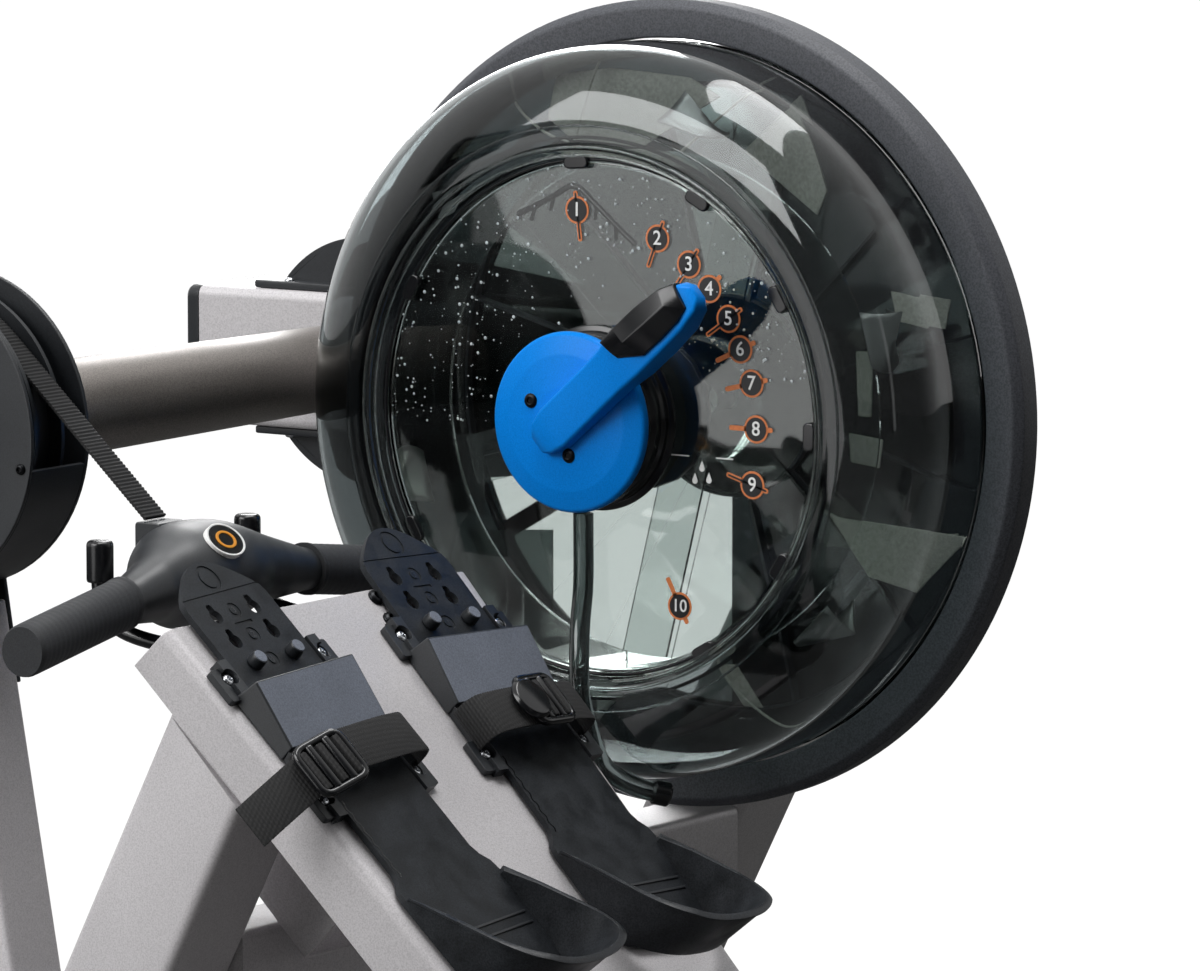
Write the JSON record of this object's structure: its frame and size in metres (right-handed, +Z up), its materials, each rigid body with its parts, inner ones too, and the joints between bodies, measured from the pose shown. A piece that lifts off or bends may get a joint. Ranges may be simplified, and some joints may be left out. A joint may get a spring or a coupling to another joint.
{
  "type": "rowing machine",
  "caption": "Fluid rowing machine with an upright side tank, resistance lever, sloping footboard with sliding heel cups, strapped footplates, belt handle, rolling seat and tilting console.",
  "frame": {"origin": "on the floor, under the middle of the machine's bounding box", "axes": "+Z up, +Y from the seat towards the footboard (the way the rower faces), +X the rower's right, where the tank is"},
  "size_m": [0.9, 2.15, 1.0647],
  "materials": {
    "frame_paint": "silver-grey speckled powder coat",
    "tube_paint": "warm grey metallic paint",
    "rail_aluminium": "anodised aluminium extrusion",
    "black_plastic": "moulded black plastic with a fine grain",
    "glossy_black_plastic": "glossy black plastic",
    "ring_plastic": "dark grey textured plastic",
    "blue_plastic": "bright blue moulded plastic",
    "clear_shell": "smoked clear polycarbonate",
    "black_rubber": "black moulded rubber",
    "webbing": "ribbed black polyester webbing",
    "steel": "brushed stainless steel",
    "seat_vinyl": "black padded vinyl"
  },
  "bodies": {
    "frame": {"front_stabilizer": "frame_paint", "front_foot_left": "black_rubber", "front_foot_right": "black_rubber", "rear_support": "frame_paint", "rear_foot_left": "black_rubber", "rear_foot_right": "black_rubber", "rail": "rail_aluminium", "rail_end_cap": "black_plastic", "lower_beam": "frame_paint", "left_leg": "frame_paint", "tank_leg": "frame_paint", "cross_tube": "frame_paint", "footboard": "frame_paint", "spine_beam": "frame_paint", "handle_rest": "black_plastic", "footplate_left": "black_plastic", "footplate_right": "black_plastic", "strap_left": "webbing", "strap_right": "webbing", "buckle_left": "glossy_black_plastic", "buckle_right": "glossy_black_plastic", "front_upright": "frame_paint", "drive_housing_left": "black_plastic", "drive_housing_right": "black_plastic", "cross_shaft_tube": "tube_paint", "drive_belt": "black_rubber", "tank_arm": "frame_paint", "arm_end_cap": "black_plastic", "pulley_guard_upper": "black_plastic", "pulley_guard_lower": "black_plastic", "tank_ring": "ring_plastic", "front_tank_shell": "clear_shell", "rear_tank_shell": "black_plastic", "storage_chamber": "clear_shell", "adjuster_socket": "black_plastic", "transfer_pipe": "clear_shell"},
    "handle": {"handle_core": "black_plastic", "handle_grip_left": "black_rubber", "handle_grip_right": "black_rubber", "pull_belt": "webbing"},
    "drive_line": {"drive_shaft": "steel", "belt_drum": "black_plastic", "drive_pulley": "rail_aluminium"},
    "impeller_line": {"impeller": "steel", "impeller_pulley": "rail_aluminium"},
    "adjuster": {"adjuster_hub": "blue_plastic", "adjuster_lever": "blue_plastic", "lever_grip": "glossy_black_plastic", "adjuster_valve": "black_plastic"},
    "seat": {"seat_carriage": "steel", "seat_cushion": "seat_vinyl"},
    "front_roller_set": {"front_rollers": "black_rubber"},
    "rear_roller_set": {"rear_rollers": "black_rubber"},
    "left_heel": {"heel_slider_left": "black_plastic"},
    "right_heel": {"heel_slider_right": "black_plastic"},
    "console": {"console_case": "black_plastic"},
    "button_1": {"console_button_1": "black_rubber"},
    "button_2": {"console_button_2": "black_rubber"},
    "left_wheel": {"transport_wheel_left": "black_rubber"},
    "right_wheel": {"transport_wheel_right": "black_rubber"}
  },
  "joints": [
    {"name": "handle_lift", "type": "hinge", "parent": "frame", "child": "handle", "pos_m": [-0.2, 0.918, 0.74], "axis": [-1, 0, 0], "range_deg": [0, 40]},
    {"name": "drive_spin", "type": "hinge", "parent": "frame", "child": "drive_line", "pos_m": [-0.2, 0.918, 0.74], "axis": [1, 0, 0], "continuous": true},
    {"name": "impeller_spin", "type": "hinge", "parent": "frame", "child": "impeller_line", "pos_m": [0.23, 0.558, 0.74], "axis": [1, 0, 0], "continuous": true},
    {"name": "adjuster_turn", "type": "hinge", "parent": "frame", "child": "adjuster", "pos_m": [0.08, 0.558, 0.74], "axis": [1, 0, 0], "range_deg": [-56, 103]},
    {"name": "seat_slide", "type": "slide", "parent": "frame", "child": "seat", "axis": [0, 1, 0], "range_m": [-0.53, 0.45]},
    {"name": "front_roller_spin", "type": "hinge", "parent": "seat", "child": "front_roller_set", "pos_m": [-0.2, -0.342, 0.427], "axis": [1, 0, 0], "continuous": true},
    {"name": "rear_roller_spin", "type": "hinge", "parent": "seat", "child": "rear_roller_set", "pos_m": [-0.2, -0.462, 0.427], "axis": [1, 0, 0], "continuous": true},
    {"name": "left_heel_slide", "type": "slide", "parent": "frame", "child": "left_heel", "axis": [0.0523, -0.6999, -0.7123], "range_m": [0, 0.044]},
    {"name": "right_heel_slide", "type": "slide", "parent": "frame", "child": "right_heel", "axis": [-0.0523, -0.6999, -0.7123], "range_m": [0, 0.044]},
    {"name": "console_tilt", "type": "hinge", "parent": "frame", "child": "console", "pos_m": [-0.2, 0.955, 0.938], "axis": [1, 0, 0], "range_deg": [-20, 25]},
    {"name": "console_button_1_press", "type": "slide", "parent": "console", "child": "button_1", "axis": [0, 0.9511, -0.309], "range_m": [0, 0.0015], "stiffness_N_per_m": 300},
    {"name": "console_button_2_press", "type": "slide", "parent": "console", "child": "button_2", "axis": [0, 0.9511, -0.309], "range_m": [0, 0.0015], "stiffness_N_per_m": 300},
    {"name": "left_wheel_spin", "type": "hinge", "parent": "frame", "child": "left_wheel", "pos_m": [-0.38, 0.876, 0.036], "axis": [1, 0, 0], "continuous": true},
    {"name": "right_wheel_spin", "type": "hinge", "parent": "frame", "child": "right_wheel", "pos_m": [0.38, 0.876, 0.036], "axis": [1, 0, 0], "continuous": true}
  ],
  "couplings": [
    {"joint": "impeller_spin", "follows": "drive_spin", "ratio": 2.8667},
    {"joint": "front_roller_spin", "follows": "seat_slide", "rad_per_m": -46.083},
    {"joint": "rear_roller_spin", "follows": "seat_slide", "rad_per_m": -46.083}
  ]
}
